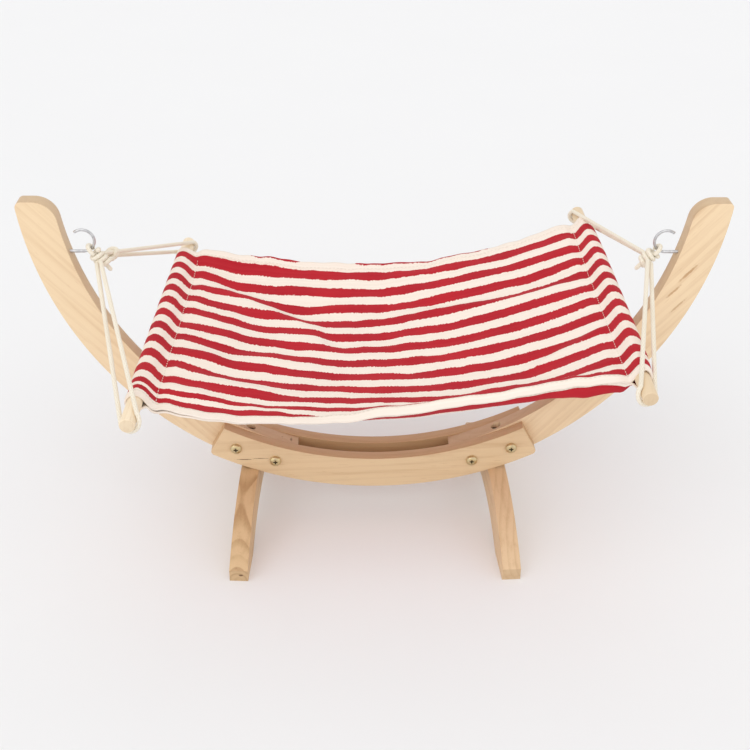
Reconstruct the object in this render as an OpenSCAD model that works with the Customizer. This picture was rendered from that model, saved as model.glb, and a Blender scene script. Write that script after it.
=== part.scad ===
// Cat hammock: a curved wooden frame on two arched legs, with a canvas bed
// that hangs by ropes from two hooks. Millimetres, +Z up, front towards -Y,
// origin on the floor under the middle of the frame.

/* [Rails] */
// Radius of the rails' centre line
rail_mid_r = 376; // [360:1:400]
// Height of the rail board across its curve
rail_w = 38; // [34:1:42]
// Thickness of each rail
rail_t = 14; // [10:1:18]
// Length of each rail along its centre line
rail_len = 368; // [350:1:385]
// Height of the rails' lowest point above the floor
rail_bottom = 37; // [32:1:50]
// Rounding of the rails' lower corners
rail_corner_r = 5; // [2:0.5:10]

/* [Arms] */
// Radius of the arms' centre line
arm_mid_r = 362; // [350:1:375]
// Width of the arm board across its curve
arm_w = 39; // [36:1:42]
// Thickness of each arm, which is also the space between the rails
arm_t = 18; // [14:1:24]
// Tilt of each arm out of the rails' curve, in degrees
arm_pitch = 3; // [2:0.5:4]
// Length of the arm's tail inside its joint
arm_tail = 45; // [38:1:60]
// Height of the arm tips above the floor
arm_tip_z = 382; // [370:1:390]
// Rounding of the tip's inner corner
arm_tip_r = 24; // [15:1:28]

/* [Joints] */
// Distance along the rail from its end to the joint's middle
joint_inset = 47; // [43:1:52]
// Distance between the two bolts of a joint
bolt_pitch = 47; // [42:1:50]
// How far outside its joint's middle each leg bolt stands
leg_shift = 6; // [2:0.5:7]

/* [Legs] */
// Thickness of each leg
leg_t = 20; // [16:1:24]
// Width of the leg board across its curve
leg_w = 37; // [32:1:40]
// Distance from the leg's bolt to the face of each foot
leg_reach = 145; // [130:1:165]
// Height of the upright face of each foot
toe_h = 14; // [8:1:20]
// Turn of each leg about its bolt, front foot outwards, in degrees
leg_turn = 3; // [0:0.5:4]

/* [Fasteners] */
// Diameter of the bolts
bolt_d = 6; // [5:0.5:7]
// Diameter of the rail bolts' heads
head_d = 12.5; // [11:0.5:14]
// Height of the rail bolts' heads
head_h = 4; // [3:0.5:5]
// Width of the nuts across their flats
nut_af = 10; // [9:0.5:11]
// Height of the nuts
nut_h = 5; // [4:0.5:6]
// Diameter of the washers
washer_d = 13; // [12:0.5:14]
// Thickness of the washers
washer_t = 1.2; // [0.8:0.1:2]
// Diameter of the leg bolts' heads
cap_d = 10; // [9:0.5:10.5]
// Height of the leg bolts' heads
cap_h = 6; // [5:0.5:7]
// Width of the key sockets in the bolt heads
socket_w = 5; // [3:0.5:5.5]
// Depth of the leg bolts' heads below the arms' edge
cap_sink = 6; // [5:0.5:9]
// Depth of the pocket for each leg nut
nut_pocket = 10; // [9:0.5:14]

/* [Hooks] */
// Diameter of the hook wire
wire_d = 3; // [2.5:0.1:3.5]
// Radius of the hook's bend
hook_r = 12; // [11:0.5:15]
// Distance of the hook's middle below the arm's tip
hook_drop = 46; // [38:1:62]
// Distance from the arm's edge to the hook's middle
hook_stand = 14; // [13:0.5:20]
// Length of the hook's screw in the arm
hook_screw = 22; // [15:1:28]

/* [Bed] */
// Diameter of the dowels
dowel_d = 15; // [12:0.5:18]
// Length of the dowels
dowel_len = 420; // [410:1:450]
// Distance of the left dowel from the frame's middle
left_dowel_x = 230; // [215:1:245]
// Height of the left dowel
left_dowel_z = 240; // [225:1:255]
// Distance of the right dowel from the frame's middle
right_dowel_x = 251; // [230:1:255]
// Height of the right dowel
right_dowel_z = 275; // [255:1:285]
// Turn of the left dowel, rear end inwards, in degrees
left_dowel_turn = 1.6; // [-2:0.1:2]
// Turn of the right dowel, rear end outwards, in degrees
right_dowel_turn = 0; // [-2:0.1:2]
// Rise of the left dowel from front to rear, in degrees
left_dowel_tilt = -0.9; // [-1.5:0.1:1.5]
// Rise of the right dowel from front to rear, in degrees
right_dowel_tilt = 0.9; // [-1.5:0.1:1.5]
// Length of dowel that stands out of the canvas at each end
dowel_stub = 36; // [32:1:50]
// Thickness of the canvas
cloth_t = 1.4; // [1:0.1:2]
// Depth of the sag of the canvas edges below the dowels
bed_sag = 27; // [10:1:35]
// Extra sag in the middle of the bed's width
bed_dish = 25; // [0:1:30]
// Rise and fall of the canvas edges by their slack
bed_twist = 5; // [0:1:10]
// Slant of the hollow, towards the left rear and the right front
bed_skew = 11; // [0:1:20]
// Distance from a dowel's middle to its sleeve's seam
sleeve_w = 17.5; // [16.5:0.5:24]
// Reach of the left sleeve outside its dowel's middle
left_sleeve_reach = 9.5; // [9:0.5:12]
// Reach of the right sleeve outside its dowel's middle
right_sleeve_reach = 13; // [9:0.5:14]
// Greatest distance between the two layers of canvas
layer_gap = 10; // [2:0.5:12]

/* [Ropes] */
// Diameter of the rope
rope_d = 4.6; // [4:0.1:5]
// Turns in each knot's winding
knot_turns = 3; // [2:1:4]
// Length of the rope's end that stands out of each knot
knot_tail = 12; // [6:1:20]

/* [Hidden] */

// Clearances
hole_clear = 0.2;
screw_clear = 0.05;
seat_clear = 0.15;
soft_clear = 0.4;
winding_clear = 0.6;
counterbore_clear = 0.5;
through = 1;

// Smoothness of the boards' curves and of small round parts
$fn = 48;
board_fn = 360;

// Colours
pine = [0.87, 0.72, 0.53];
beech = [0.90, 0.77, 0.60];
brass = [0.78, 0.64, 0.30];
steel = [0.72, 0.73, 0.75];
canvas = [0.78, 0.18, 0.22];
lining = [0.93, 0.90, 0.84];
cotton = [0.94, 0.91, 0.83];

// Rails: arcs about one centre above the frame's middle
rail_ro = rail_mid_r + rail_w / 2;
rail_ri = rail_mid_r - rail_w / 2;
rail_cz = rail_bottom + rail_ro;
rail_half_a = rail_len / rail_mid_r * 90 / PI;

// Joints: one at each end of the rails
joint_a = rail_half_a - joint_inset / rail_mid_r * 180 / PI;
joint_x = rail_mid_r * sin(joint_a);
joint_z = rail_cz - rail_mid_r * cos(joint_a);
bolt_da = asin(bolt_pitch / 2 / rail_mid_r);
bolt_spots = [
  for (s = [-1, 1], k = [-1, 1])
    let (a = joint_a + k * bolt_da)
    [s * rail_mid_r * sin(a), rail_cz - rail_mid_r * cos(a)]
];
stack_y = arm_t / 2 + rail_t;

// Arms: arcs through the joints' middles, tilted out of the rails' curve
arm_ro = arm_mid_r + arm_w / 2;
arm_ri = arm_mid_r - arm_w / 2;
arm_a = joint_a + arm_pitch;
arm_cx = joint_x - arm_mid_r * sin(arm_a);
arm_cz = joint_z + arm_mid_r * cos(arm_a);
arm_tail_a = arm_a - arm_tail / arm_mid_r * 180 / PI;
arm_tip_out_a = 100;
function arm_edge_x(z) = arm_cx + sqrt(pow(arm_ri, 2) - pow(arm_cz - z, 2));
function arm_edge_z(x) = arm_cz - sqrt(pow(arm_ri, 2) - pow(x - arm_cx, 2));

// Legs: arches whose tops meet the rails' lower edges
leg_x = joint_x + leg_shift;
leg_top = rail_cz - sqrt(pow(rail_ro, 2) - pow(leg_x, 2));
leg_rise = leg_top - toe_h;
leg_ro = (pow(leg_reach, 2) + pow(leg_rise, 2)) / (2 * leg_rise);
leg_ri = leg_ro - leg_w;
leg_cz = leg_top - leg_ro;
leg_under = leg_top - leg_w;
cap_seat = arm_edge_z(leg_x) - cap_sink - cap_h;
nut_seat = leg_under + nut_pocket;
thread_past = 1.5;

// Hooks: screwed into the arms' inner edges
hook_z = arm_tip_z - hook_drop;
shank_z = hook_z - hook_r;
shank_x = arm_edge_x(shank_z);
shank_extra = 0.4;
shank_d = wire_d + shank_extra;
shank_lap = 1;
hook_x = shank_x - hook_stand;
hook_tip_a = 50;
hook_sweep = 220;

// Bed: each dowel's middle and slant, left then right, and the sleeves round the dowels
dowel_r = dowel_d / 2;
dowel_chamfer = 0.8;
dowel_mids = [[-left_dowel_x, 0, left_dowel_z], [right_dowel_x, 0, right_dowel_z]];
dowel_turns = [left_dowel_turn, right_dowel_turn];
dowel_tilts = [left_dowel_tilt, right_dowel_tilt];
sleeve_reach = [left_sleeve_reach, right_sleeve_reach];
function dowel_at(side, y) = dowel_mids[side] + y * [tan(dowel_turns[side]), 1, tan(dowel_tilts[side])];
function bed_span(y) = dowel_at(1, y)[0] - dowel_at(0, y)[0];
cloth_w = dowel_len - 2 * dowel_stub;
sleeve_r = dowel_r + soft_clear + cloth_t / 2;
seam_half = cloth_t / 2 + soft_clear / 2;
bed_steps = 26;
bed_bunch = 0.6;
bed_rows = 8;
dish_power = 3.4;
edge_roll = 13;
edge_share = 0.4;
sleeve_steps = 5;
sleeve_edge_a = asin(soft_clear / 2 / sleeve_r);

// Ropes and knots, for side 0 (left) and side 1 (right)
rope_r = rope_d / 2;
rope_sides = 8;
winding_sides = 6;
rope_step = 12;
eye_slack = 1.6;
eye_r = rope_r + wire_d / 2 + eye_slack;
bight_r = dowel_r + rope_r + soft_clear;
bight_inset = 4;
bight_lean = 6;
bight_steps = 12;
ring_steps = 24;
winding_r = rope_d + soft_clear;
winding_pitch = rope_d + winding_clear;
knot_drop = 1.8;
winding_from = hook_r + wire_d / 2 + knot_drop + rope_r;
winding_len = knot_turns * winding_pitch;
winding_out = winding_r + rope_r;
lead_gap = 0.9;
eye_gap = 0.7;
tab_len = 8;

function side_sign(side) = side == 0 ? -1 : 1;
function hook3(side) = [side_sign(side) * hook_x, 0, hook_z];
// Direction in which the bed pulls on a hook, and the one square to it
function pull(side) = unit(dowel_mids[side] - hook3(side));
function across(side) = cross(pull(side), [0, 1, 0]);
function knot_mid(side) = hook3(side) + pull(side) * (winding_from + winding_len / 2);
function unit(v) = v / norm(v);

// Tube swept along a list of points
function last(p) = len(p) - 1;
function tangents(p) = [
  for (i = [0 : last(p)]) unit(p[min(i + 1, last(p))] - p[max(i - 1, 0)])
];
function square_to(n, t) = unit(n - (n * t) * t);
function first_normal(t) = square_to(abs(t[2]) < 0.9 ? [0, 0, 1] : [1, 0, 0], t);
function normals(t) = [
  for (i = 0, n = first_normal(t[0]); i <= last(t); i = i + 1, n = i <= last(t) ? square_to(n, t[i]) : n) n
];
function tube_points(p, d, sides) =
  let (t = tangents(p), n = normals(t))
  [
    for (i = [0 : last(p)], k = [0 : sides - 1])
      let (a = 360 * k / sides)
      p[i] + d / 2 * (cos(a) * n[i] + sin(a) * cross(t[i], n[i]))
  ];
function tube_faces(rings, sides) = [
  for (i = [0 : rings - 2], k = [0 : sides - 1])
    let (a = i * sides + k, b = i * sides + (k + 1) % sides)
    each [[a, a + sides, b], [b, a + sides, b + sides]],
  for (k = [1 : sides - 2])
    each [[0, k, k + 1], [(rings - 1) * sides, (rings - 1) * sides + k + 1, (rings - 1) * sides + k]]
];
module tube(path, d, sides) {
  polyhedron(tube_points(path, d, sides), tube_faces(len(path), sides), convexity = 8);
}
function straight(a, b, step) =
  let (n = max(2, ceil(norm(b - a) / step)))
  [for (i = [0 : n]) a + (b - a) * i / n];

// Board cut from a profile in the X and Z plane, from y0 to y0 + t
module board(y0, t) {
  translate([0, y0 + t, 0])
    rotate([90, 0, 0])
      linear_extrude(t)
        children();
}

// Wedge from one angle to another, counted from straight down towards +X
module wedge(from_a, to_a, r) {
  steps = 8;
  rim = [
    for (i = [0 : steps])
      let (a = from_a + (to_a - from_a) * i / steps)
      2 * r * [sin(a), -cos(a)]
  ];
  polygon(concat([[0, 0]], rim));
}

module arc_band(ri, ro, from_a, to_a) {
  intersection() {
    difference() {
      circle(ro, $fn = board_fn);
      circle(ri, $fn = board_fn);
    }
    wedge(from_a, to_a, ro);
  }
}

// What is cut away to round a square corner at the origin
module corner_cut(r) {
  difference() {
    translate([-r, -r])
      square(r + through);
    translate([-r, -r])
      circle(r);
  }
}

module bolt_holes(length) {
  for (p = bolt_spots)
    translate([p[0], 0, p[1]])
      rotate([90, 0, 0])
        cylinder(d = bolt_d + 2 * hole_clear, h = length, center = true);
}

module rail_profile() {
  translate([0, rail_cz])
    difference() {
      arc_band(rail_ri, rail_ro, -rail_half_a, rail_half_a);
      for (s = [0, 1])
        mirror([s, 0])
          rotate(rail_half_a)
            translate([0, -rail_ro])
              rotate(-90)
                corner_cut(rail_corner_r);
    }
}

module rail(y0) {
  color(pine)
    difference() {
      board(y0, rail_t)
        rail_profile();
      bolt_holes(2 * stack_y + 2 * through);
    }
}

// Outline of the right arm
module arm_profile() {
  round_z = arm_tip_z - arm_tip_r;
  round_x = arm_cx + sqrt(pow(arm_ri + arm_tip_r, 2) - pow(arm_cz - round_z, 2));
  meet = arm_ri / (arm_ri + arm_tip_r);
  meet_x = arm_cx + (round_x - arm_cx) * meet;
  meet_z = arm_cz + (round_z - arm_cz) * meet;
  difference() {
    translate([arm_cx, arm_cz])
      arc_band(arm_ri, arm_ro, arm_tail_a, arm_tip_out_a);
    translate([0, arm_tip_z])
      square([2 * arm_ro, arm_ro]);
    difference() {
      polygon([
        [round_x, round_z], [meet_x, meet_z],
        [meet_x - arm_tip_r, arm_tip_z + through], [round_x, arm_tip_z + through]
      ]);
      translate([round_x, round_z])
        circle(arm_tip_r, $fn = 96);
    }
  }
}

module right_side_arm() {
  color(beech)
    difference() {
      board(-arm_t / 2, arm_t)
        arm_profile();
      bolt_holes(arm_t + 2 * through);
      translate([leg_x, 0, 0])
        cylinder(d = bolt_d + 2 * hole_clear, h = arm_tip_z);
      translate([leg_x, 0, cap_seat])
        cylinder(d = cap_d + 2 * counterbore_clear, h = arm_tip_z);
      translate([shank_x - arm_w / 2, 0, shank_z])
        rotate([0, 90, 0])
          cylinder(d = shank_d + 2 * screw_clear, h = hook_screw + arm_w / 2);
    }
}

module right_arm() {
  right_side_arm();
}

module left_arm() {
  mirror([1, 0, 0])
    right_side_arm();
}

module front_rail() {
  rail(-stack_y);
}

module rear_rail() {
  rail(arm_t / 2);
}

// Outline of a leg in the Y and Z plane
module leg_profile() {
  intersection() {
    translate([0, leg_cz])
      difference() {
        circle(leg_ro, $fn = board_fn);
        circle(leg_ri, $fn = board_fn);
      }
    translate([-leg_reach, 0])
      square([2 * leg_reach, leg_ro]);
  }
}

module right_side_leg() {
  color(pine)
    difference() {
      translate([leg_x, 0, 0])
        rotate([0, 0, leg_turn])
          rotate([90, 0, 90])
            linear_extrude(leg_t, center = true)
              leg_profile();
      translate([0, 0, rail_cz])
        rotate([90, 0, 0])
          cylinder(r = rail_ro + seat_clear, h = 3 * leg_reach, center = true, $fn = board_fn);
      translate([arm_cx, 0, arm_cz])
        rotate([90, 0, 0])
          cylinder(r = arm_ro + seat_clear, h = arm_t + 2 * seat_clear, center = true, $fn = board_fn);
      translate([leg_x, 0, 0])
        cylinder(d = bolt_d + 2 * hole_clear, h = rail_cz);
      translate([leg_x, 0, 0])
        cylinder(d = washer_d + 2 * counterbore_clear, h = nut_seat);
    }
}

module right_leg() {
  right_side_leg();
}

module left_leg() {
  mirror([1, 0, 0])
    right_side_leg();
}

// Domed bolt head on its own seat, with a cross recess, pointing along +Z
module pan_head() {
  recess_w = 1.4;
  recess_depth = head_h * 0.6;
  difference() {
    rotate_extrude()
      polygon([
        [0, 0], [head_d / 2, 0], [head_d / 2, head_h * 0.45],
        [head_d * 0.42, head_h * 0.8], [head_d * 0.28, head_h], [0, head_h]
      ]);
    for (a = [0, 90])
      rotate(a)
        translate([-socket_w / 2, -recess_w / 2, head_h - recess_depth])
          cube([socket_w, recess_w, head_h]);
  }
}

module rail_bolts() {
  length = 2 * stack_y + washer_t + nut_h + thread_past;
  color(brass)
    for (p = bolt_spots)
      translate([p[0], -stack_y, p[1]])
        rotate([90, 0, 0]) {
          pan_head();
          translate([0, 0, -length])
            cylinder(d = bolt_d, h = length);
        }
}

// Washer lying on its lower face
module washer() {
  difference() {
    cylinder(d = washer_d, h = washer_t);
    translate([0, 0, -through])
      cylinder(d = bolt_d + 2 * hole_clear, h = washer_t + 2 * through);
  }
}

// Six-sided nut lying on its lower face
module nut() {
  difference() {
    cylinder(d = nut_af / cos(30), h = nut_h, $fn = 6);
    translate([0, 0, -through])
      cylinder(d = bolt_d + 2 * screw_clear, h = nut_h + 2 * through);
  }
}

module rail_washers() {
  color(brass)
    for (p = bolt_spots)
      translate([p[0], stack_y, p[1]])
        rotate([-90, 0, 0])
          washer();
}

module rail_nuts() {
  color(brass)
    for (p = bolt_spots)
      translate([p[0], stack_y + washer_t, p[1]])
        rotate([-90, 0, 0])
          nut();
}

module leg_bolts() {
  tip = nut_seat - washer_t - nut_h - thread_past;
  color(steel)
    for (s = [-1, 1])
      translate([s * leg_x, 0, cap_seat])
        difference() {
          union() {
            cylinder(d = cap_d, h = cap_h);
            translate([0, 0, tip - cap_seat])
              cylinder(d = bolt_d, h = cap_seat - tip);
          }
          translate([0, 0, cap_h / 2])
            cylinder(d = socket_w / cos(30), h = cap_h, $fn = 6);
        }
}

module leg_washers() {
  color(steel)
    for (s = [-1, 1])
      translate([s * leg_x, 0, nut_seat - washer_t])
        washer();
}

module leg_nuts() {
  color(steel)
    for (s = [-1, 1])
      translate([s * leg_x, 0, nut_seat - washer_t - nut_h])
        nut();
}

// Open hook of the right arm: a straight screw and a bend that opens towards the arm
module right_side_hook() {
  color(steel) {
    translate([hook_x - shank_lap, 0, shank_z])
      rotate([0, 90, 0])
        cylinder(d = shank_d, h = shank_lap + hook_stand + hook_screw);
    translate([hook_x, 0, hook_z])
      rotate([90, -hook_tip_a, 0])
        rotate_extrude(angle = hook_sweep, $fn = 96)
          translate([hook_r, 0])
            circle(d = wire_d);
  }
}

module right_hook() {
  right_side_hook();
}

module left_hook() {
  mirror([1, 0, 0])
    right_side_hook();
}

module dowel(side) {
  half = dowel_len / 2;
  color(beech)
    translate(dowel_mids[side])
      rotate([90 + dowel_tilts[side], 0, -dowel_turns[side]])
        rotate_extrude()
          polygon([
            [0, -half], [dowel_r - dowel_chamfer, -half], [dowel_r, -half + dowel_chamfer],
            [dowel_r, half - dowel_chamfer], [dowel_r - dowel_chamfer, half], [0, half]
          ]);
}

module left_dowel() {
  dowel(0);
}

module right_dowel() {
  dowel(1);
}

// Middle line of the bed at y: d is the distance from the left dowel
function bed_share(d, y) = min(1, max(0, (d - sleeve_r) / (bed_span(y) - 2 * sleeve_r)));
function bed_z(d, y) =
  let (s = bed_share(d, y), v = 2 * y / cloth_w, inner = 1 - pow(abs(v), dish_power))
  dowel_at(0, y)[2] * (1 - s) + dowel_at(1, y)[2] * s
  - 4 * s * (1 - s) * (bed_sag + bed_dish * inner)
  + (bed_twist - bed_skew * inner) * v * sin(360 * s);
// Half the distance between the layers: the sleeve's radius at a dowel, closed at the seam
function layer_half(d, y) =
  let (e = min(d, bed_span(y) - d, sleeve_w) / sleeve_w)
  seam_half + (sleeve_r - seam_half) * (1 + cos(180 * e)) / 2;
function layer_drop(d, y) =
  let (
    e = min(1, max(0, (d - sleeve_w) / (bed_span(y) - 2 * sleeve_w))),
    inner = min(1, (cloth_w / 2 - abs(y)) / edge_roll)
  )
  layer_gap * sqrt(4 * e * (1 - e)) * (edge_share + (1 - edge_share) * inner);
// Places along the bed, closer together near the dowels, with one over each dowel's shoulder
function bed_d(i, y) = let (t = i / bed_steps) bed_span(y) * (t - bed_bunch * sin(360 * t) / (2 * PI));
function bed_places(y) = concat(
  [0, dowel_r / 2],
  [for (i = [1 : bed_steps - 1]) bed_d(i, y)],
  [bed_span(y) - dowel_r / 2, bed_span(y)]
);
// Quarter of a sleeve outside its dowel, i steps from the top: loosest in the middle of its length
function sleeve_point(side, up, y, i) =
  let (
    m = dowel_at(side, y),
    a = (90 - sleeve_edge_a) * i / sleeve_steps,
    out = sleeve_r + (sleeve_reach[side] - sleeve_r) * (1 - pow(2 * y / cloth_w, 2))
  )
  [m[0] + side_sign(side) * out * sin(a), m[2] + up * sleeve_r * cos(a)];

// One layer's line across the bed at y, from dowel to dowel: up is 1 or -1
function layer_line(up, y) = concat(
  [for (i = [sleeve_steps : -1 : 1]) sleeve_point(0, up, y, i)],
  [
    for (d = bed_places(y))
      [dowel_at(0, y)[0] + d, bed_z(d, y) + up * layer_half(d, y) - (up < 0 ? layer_drop(d, y) : 0)]
  ],
  [for (i = [1 : sleeve_steps]) sleeve_point(1, up, y, i)]
);
function line_normal(p, i) =
  let (t = unit(p[min(i + 1, last(p))] - p[max(i - 1, 0)]))
  [-t[1], t[0]];

// Closed sheet of canvas: an upper and a lower grid, joined all round
module sheet(up) {
  rows = [for (j = [0 : bed_rows]) cloth_w / 2 * sin(180 * j / bed_rows - 90)];
  lines = [for (y = rows) layer_line(up, y)];
  n = len(lines[0]);
  half = (bed_rows + 1) * n;
  points = [
    for (s = [1, -1], j = [0 : bed_rows], i = [0 : n - 1])
      let (q = lines[j][i] + s * cloth_t / 2 * line_normal(lines[j], i))
      [q[0], rows[j], q[1]]
  ];
  grid = [
    for (j = [0 : bed_rows - 1], i = [0 : n - 2])
      let (a = j * n + i, b = a + 1, c = a + n, e = c + 1)
      each [
        [a, c, b], [b, c, e],
        [half + a, half + b, half + c], [half + b, half + e, half + c]
      ]
  ];
  edges = [
    for (i = [0 : n - 2])
      let (a = i, b = i + 1, c = bed_rows * n + i, e = c + 1)
      each [
        [a, b, half + a], [b, half + b, half + a],
        [c, half + c, e], [e, half + c, half + e]
      ],
    for (j = [0 : bed_rows - 1])
      let (a = j * n, b = a + n, c = a + n - 1, e = b + n - 1)
      each [
        [a, half + a, b], [b, half + a, half + b],
        [c, e, half + c], [e, half + e, half + c]
      ]
  ];
  polyhedron(points, concat(grid, edges), convexity = 6);
}

module upper_sheet() {
  color(canvas)
    sheet(1);
}

module lower_sheet() {
  color(lining)
    sheet(-1);
}

// Doubled rope from a knot, round a dowel's end and back: end is -1 in front, 1 behind
function rope_route(side, end) =
  let (
    u = pull(side),
    n = across(side),
    k = knot_mid(side),
    start_y = winding_out + lead_gap,
    meet_y = dowel_len / 2 - bight_inset - rope_r - bight_lean,
    lead = function (w) k + n * w * (rope_r + winding_clear / 2) + [0, end * start_y, 0],
    bight = [
      for (i = [0 : bight_steps])
        let (a = 180 * i / bight_steps)
        dowel_at(side, end * (meet_y + bight_lean * sin(a))) + bight_r * (cos(a) * n + sin(a) * u)
    ],
    down = straight(lead(1), bight[0], rope_step),
    back = straight(bight[bight_steps], lead(-1), rope_step)
  )
  concat(
    [for (i = [0 : last(down) - 1]) down[i]],
    bight,
    [for (i = [1 : last(back)]) back[i]]
  );

module rope(side, end) {
  color(cotton)
    tube(rope_route(side, end), rope_d, rope_sides);
}

module left_front_rope() {
  rope(0, -1);
}

module left_rear_rope() {
  rope(0, 1);
}

module right_front_rope() {
  rope(1, -1);
}

module right_rear_rope() {
  rope(1, 1);
}

// Winding of a knot: its turns about the pull's line, with straight ends
function winding_turns(side) =
  let (u = pull(side), n = across(side), h = hook3(side))
  [
    for (i = [0 : knot_turns * ring_steps])
      let (a = 360 * i / ring_steps)
      h + u * (winding_from + winding_pitch * i / ring_steps)
        + winding_r * (cos(a) * n + sin(a) * [0, 1, 0])
  ];
function winding_route(side) =
  let (
    turns = winding_turns(side),
    first_way = unit(turns[0] - turns[1]),
    last_way = unit(turns[last(turns)] - turns[last(turns) - 1])
  )
  concat(
    [turns[0] + first_way * rope_d, turns[0] + first_way * rope_r],
    turns,
    [turns[last(turns)] + last_way * knot_tail / 2, turns[last(turns)] + last_way * knot_tail]
  );

// Eye of a knot, round the hook's wire
function eye_route(side) =
  let (
    u = pull(side),
    h = hook3(side),
    rest = hook_r - wire_d / 2 - rope_r - soft_clear,
    leg_end = winding_from - rope_r - eye_gap
  )
  concat(
    [h + u * (leg_end + winding_pitch * 3 / 4) + [0, -eye_r, 0]],
    [
      for (i = [0 : bight_steps])
        let (a = 180 * i / bight_steps)
        h + u * (rest + eye_r - eye_r * sin(a)) + [0, -eye_r * cos(a), 0]
    ],
    [h + u * (leg_end + winding_pitch / 4) + [0, eye_r, 0]]
  );

function core_route(side) =
  straight(
    hook3(side) + pull(side) * winding_from,
    hook3(side) + pull(side) * (winding_from + winding_len + rope_r + tab_len),
    rope_step / 2
  );

// Least distance between turns of a winding, less the rope's diameter
function least_gap(p) = min([
  for (i = [0 : last(p)], j = [i + ring_steps / 2 : 1 : last(p)]) norm(p[i] - p[j])
]) - rope_d;
echo("least gap between the turns of a knot, in mm", least_gap(winding_turns(0)));

module knot(side) {
  color(cotton) {
    tube(winding_route(side), rope_d, winding_sides);
    tube(eye_route(side), rope_d, rope_sides);
    tube(core_route(side), rope_d, rope_sides);
  }
}

module left_knot() {
  knot(0);
}

module right_knot() {
  knot(1);
}

left_arm();
right_arm();
front_rail();
rear_rail();
left_leg();
right_leg();
rail_bolts();
rail_washers();
rail_nuts();
leg_bolts();
leg_washers();
leg_nuts();
left_hook();
right_hook();
left_dowel();
right_dowel();
upper_sheet();
lower_sheet();
left_front_rope();
left_rear_rope();
right_front_rope();
right_rear_rope();
left_knot();
right_knot();
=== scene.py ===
import bisect
import math

import bmesh
import bpy
from mathutils import Matrix, Vector, noise


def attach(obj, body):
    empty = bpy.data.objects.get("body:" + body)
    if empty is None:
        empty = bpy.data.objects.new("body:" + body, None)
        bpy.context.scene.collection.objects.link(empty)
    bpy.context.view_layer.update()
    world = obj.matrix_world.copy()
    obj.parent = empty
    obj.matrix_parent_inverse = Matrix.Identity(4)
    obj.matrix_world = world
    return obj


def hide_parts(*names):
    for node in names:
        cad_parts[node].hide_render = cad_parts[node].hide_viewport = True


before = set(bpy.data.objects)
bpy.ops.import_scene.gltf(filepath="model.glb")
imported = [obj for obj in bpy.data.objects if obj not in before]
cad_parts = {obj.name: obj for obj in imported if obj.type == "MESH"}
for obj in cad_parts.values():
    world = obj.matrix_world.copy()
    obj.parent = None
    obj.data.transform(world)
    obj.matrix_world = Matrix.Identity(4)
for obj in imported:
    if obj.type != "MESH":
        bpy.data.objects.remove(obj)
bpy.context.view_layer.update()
mm = 0.001


def linked(name, data):
    made = bpy.data.objects.new(name, data)
    bpy.context.scene.collection.objects.link(made)
    return made


def meshOf(name, made):
    mesh = bpy.data.meshes.new(name)
    made.to_mesh(mesh)
    made.free()
    return mesh


def newPiece(name, mesh, body, material):
    made = linked(name, mesh)
    mesh.materials.append(material)
    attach(made, body)
    return made


# Camera: the photograph's angle, for an image of 750 by 750
cameraSet = {
    "imageSize": 750,
    "focal": 1208.422,  # in pixels
    "sensor": 36.0,
    "clipStart": 0.01,
    "pitch": 0.5410521,
    "yaw": -0.0295644,
    "roll": 0.0137146,
    "place": (-0.0333071, -1.1530839, 0.8656983),
}


def makeCamera(s):
    data = bpy.data.cameras.new("camera")
    data.sensor_width = s["sensor"]
    data.lens = s["sensor"] * s["focal"] / s["imageSize"]
    data.clip_start = s["clipStart"]
    made = linked("camera", data)
    turn = Matrix.Rotation(s["yaw"], 4, "Z") @ Matrix.Rotation(math.pi / 2 - s["pitch"], 4, "X")
    made.matrix_world = Matrix.Translation(s["place"]) @ turn @ Matrix.Rotation(s["roll"], 4, "Z")
    bpy.context.scene.camera = made


makeCamera(cameraSet)
print("camera placed")

# Shared sizes of the bed, in millimetres, as in the part's source; pairs are left and right
bedSet = {
    "mids": (Vector((-230, 0, 240)), Vector((251, 0, 275))),
    "turns": (math.radians(1.6), 0.0),
    "tilts": (math.radians(-0.9), math.radians(0.9)),
    "hooks": (Vector((-304.544, 0, 336)), Vector((304.544, 0, 336))),
    "clothWidth": 348,
    "sag": 27,
    "dish": 25,
    "dishPower": 3.4,
    "twist": 5,
    "skew": 11,
    "sleeveRadius": 8.6,
    "sleeveWidths": (17.5, 12.5),
    "sleeveRises": (0.4, 2.2),
    "reaches": (9.5, 13),
    "seamHalf": 0.6,
    "layerGap": 10,
    "edgeRoll": 13,
    "edgeShare": 0.4,
}
clothHalf = bedSet["clothWidth"] / 2
yAxis = Vector((0, 1, 0))


def clamp(x, low=0.0, high=1.0):
    return max(low, min(high, x))


def smooth(x):
    t = clamp(x)
    return t * t * (3 - 2 * t)


def dowelAt(side, y):
    slant = Vector((math.tan(bedSet["turns"][side]), 1, math.tan(bedSet["tilts"][side])))
    return bedSet["mids"][side] + y * slant


def bedSpan(y):
    return dowelAt(1, y).x - dowelAt(0, y).x


# Node helpers: each adds a node whose inputs are linked or set, and gives back its output
def put(tree, sockets, values):
    for key, value in values.items():
        if isinstance(value, bpy.types.NodeSocket):
            tree.links.new(value, sockets[key])
        else:
            sockets[key].default_value = value


def addNode(tree, kind, settings=None, inputs=None):
    made = tree.nodes.new("ShaderNode" + kind)
    for key, value in (settings or {}).items():
        setattr(made, key, value)
    put(tree, made.inputs, inputs or {})
    return made.outputs


def calc(tree, operation, *values, clampIt=False):
    settings = {"operation": operation, "use_clamp": clampIt}
    return addNode(tree, "Math", settings, dict(enumerate(values)))[0]


def times(tree, a, b):
    return calc(tree, "MULTIPLY", a, b)


def plus(tree, a, b):
    return calc(tree, "ADD", a, b)


def fit(tree, value, gain, shift):
    return calc(tree, "MULTIPLY_ADD", value, gain, shift)


def swing(tree, value, reach):
    return fit(tree, value, reach, -reach / 2)


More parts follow.
